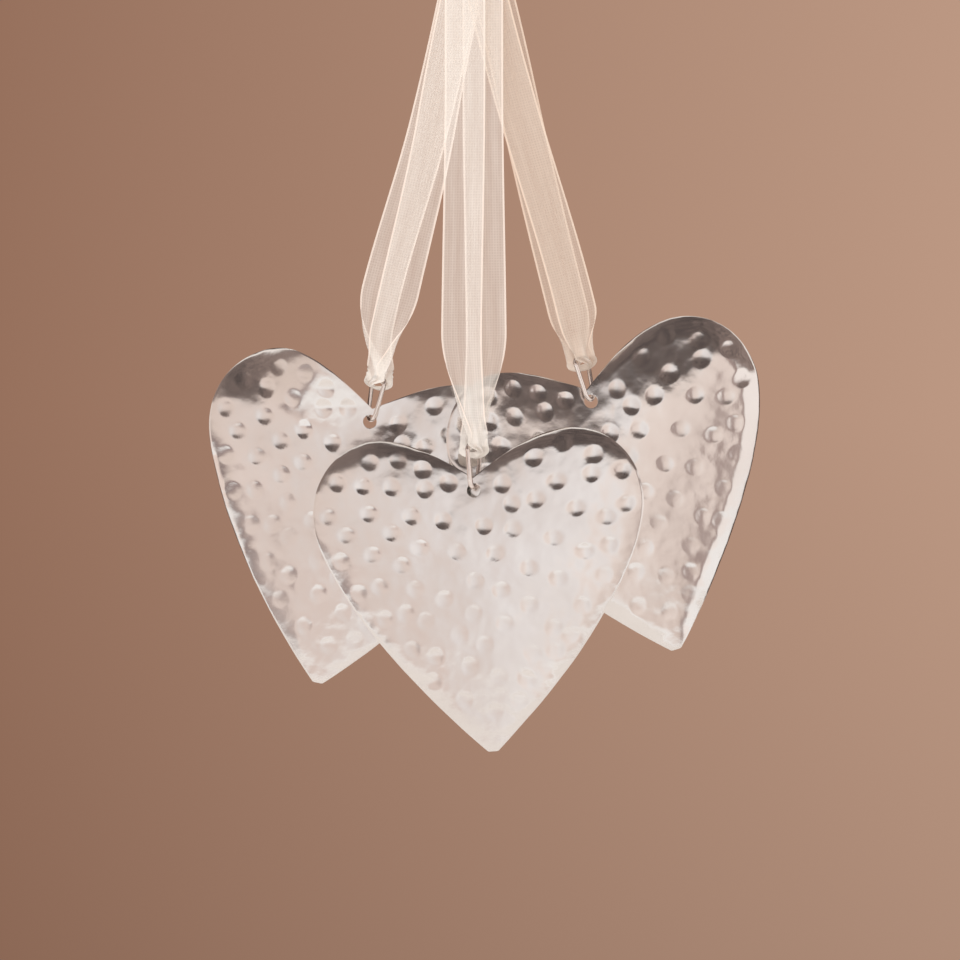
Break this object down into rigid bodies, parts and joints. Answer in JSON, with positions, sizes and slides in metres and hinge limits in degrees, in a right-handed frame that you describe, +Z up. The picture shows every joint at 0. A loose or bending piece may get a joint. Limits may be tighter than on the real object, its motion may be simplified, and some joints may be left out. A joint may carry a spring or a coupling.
{
  "type": "hanging heart christmas ornament",
  "caption": "Cluster of pressed, dented bright metal hearts, each hung by a bent wire link from a doubled sheer ribbon; the ribbons meet in a knot under a hanging loop.",
  "frame": {"origin": "inside of the top of the hanging loop, where a hook or twig carries the ornament", "axes": "+Z up, -Y towards the viewer and the domed fronts of the hearts, +X to the viewer's right"},
  "size_m": [0.1351, 0.0299, 0.2435],
  "materials": {
    "polished_heart": "pressed sheet steel, nickel plated and polished, with shallow round dents",
    "bent_wire": "bright drawn steel wire, nickel plated",
    "sheer_ribbon": "sheer cream organza with a woven edge"
  },
  "bodies": {
    "hanger": {"ribbon_knot": "sheer_ribbon", "hanging_loop": "sheer_ribbon"},
    "front_strand": {"front_ribbon": "sheer_ribbon"},
    "front_wire": {"front_link": "bent_wire"},
    "front_plate": {"front_heart": "polished_heart"},
    "right_strand": {"right_ribbon": "sheer_ribbon"},
    "right_wire": {"right_link": "bent_wire"},
    "right_plate": {"right_heart": "polished_heart"},
    "left_strand": {"left_ribbon": "sheer_ribbon"},
    "left_wire": {"left_link": "bent_wire"},
    "left_plate": {"left_heart": "polished_heart"}
  },
  "joints": [
    {"name": "front_ribbon_swing", "type": "hinge", "parent": "hanger", "child": "front_strand", "pos_m": [0, 0, -0.04], "axis": [-1, 0, 0], "range_deg": [0, 40]},
    {"name": "front_link_swing", "type": "hinge", "parent": "front_strand", "child": "front_wire", "pos_m": [0, -0.00936, -0.16772], "axis": [-0.4384, -0.8973, 0.0524], "range_deg": [-4, 25]},
    {"name": "front_heart_sway", "type": "hinge", "parent": "front_wire", "child": "front_plate", "pos_m": [0, -0.00997, -0.1782], "axis": [-0.0523, -0.9986, 0], "range_deg": [-12, 12]},
    {"name": "right_ribbon_swing", "type": "hinge", "parent": "hanger", "child": "right_strand", "pos_m": [0, 0, -0.04], "axis": [0, -1, 0], "range_deg": [0, 30]},
    {"name": "right_link_swing", "type": "hinge", "parent": "right_strand", "child": "right_wire", "pos_m": [0.02635, 0, -0.14612], "axis": [-0.4255, -0.8988, -0.1056], "range_deg": [-4, 4]},
    {"name": "right_heart_sway", "type": "hinge", "parent": "right_wire", "child": "right_plate", "pos_m": [0.02888, 0, -0.15631], "axis": [0.1045, -0.9945, 0], "range_deg": [0, 12]},
    {"name": "left_ribbon_swing", "type": "hinge", "parent": "hanger", "child": "left_strand", "pos_m": [0, 0, -0.04], "axis": [0, 1, 0], "range_deg": [0, 30]},
    {"name": "left_link_swing", "type": "hinge", "parent": "left_strand", "child": "left_wire", "pos_m": [-0.02352, 0.00929, -0.15096], "axis": [-0.4167, 0.8969, 0.148], "range_deg": [-25, 2]},
    {"name": "left_heart_sway", "type": "hinge", "parent": "left_wire", "child": "left_plate", "pos_m": [-0.0257, 0.00997, -0.16121], "axis": [0.1045, 0.9945, 0], "range_deg": [0, 12]}
  ]
}
